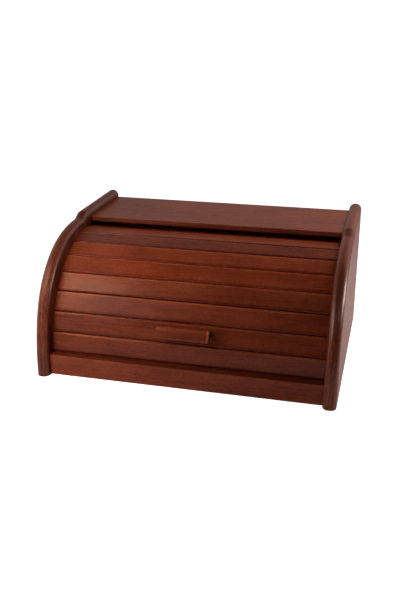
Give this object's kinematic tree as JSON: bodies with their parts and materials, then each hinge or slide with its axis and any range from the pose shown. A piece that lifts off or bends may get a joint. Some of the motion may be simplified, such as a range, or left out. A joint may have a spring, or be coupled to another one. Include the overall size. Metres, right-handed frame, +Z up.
{
  "type": "roll-top bread box",
  "caption": "Wooden bread box with shaped side panels and a roll-up front of slats on canvas that slides in a routed groove, with a small wooden pull.",
  "frame": {"origin": "middle of the footprint, on the surface that the box stands on", "axes": "+Z up, +X to the right seen from the front, the roll-up front faces -Y"},
  "size_m": [0.39, 0.2916, 0.1782],
  "materials": {
    "side_wood": "red-brown stained beech, satin lacquer",
    "top_wood": "red-brown stained beech, satin lacquer",
    "rail_wood": "red-brown stained beech, satin lacquer",
    "slat_wood": "red-brown stained beech, satin lacquer",
    "handle_wood": "red-brown stained beech, satin lacquer",
    "base_wood": "stained, matt",
    "back_board": "stained, matt",
    "dowel_wood": "raw beech",
    "canvas": "unbleached cotton",
    "screw_steel": "zinc plated",
    "nail_steel": "plain"
  },
  "bodies": {
    "case": {"side_panel_left": "side_wood", "side_panel_right": "side_wood", "top_board": "top_wood", "base_board": "base_wood", "back_panel": "back_board", "front_rail": "rail_wood", "rail_dowels": "dowel_wood", "back_nails": "nail_steel"},
    "tambour": {"slat_1": "slat_wood", "slat_2": "slat_wood", "slat_3": "slat_wood", "slat_4": "slat_wood", "slat_5": "slat_wood", "slat_6": "slat_wood", "slat_7": "slat_wood", "slat_8": "slat_wood", "slat_9": "slat_wood", "tambour_canvas": "canvas", "pull_handle": "handle_wood", "handle_screws": "screw_steel"}
  },
  "joints": [
    {"name": "tambour_slide", "type": "hinge", "parent": "case", "child": "tambour", "pos_m": [0, 0.0088, 0.0252], "axis": [-1, 0, 0], "range_deg": [0, 77.2]}
  ]
}
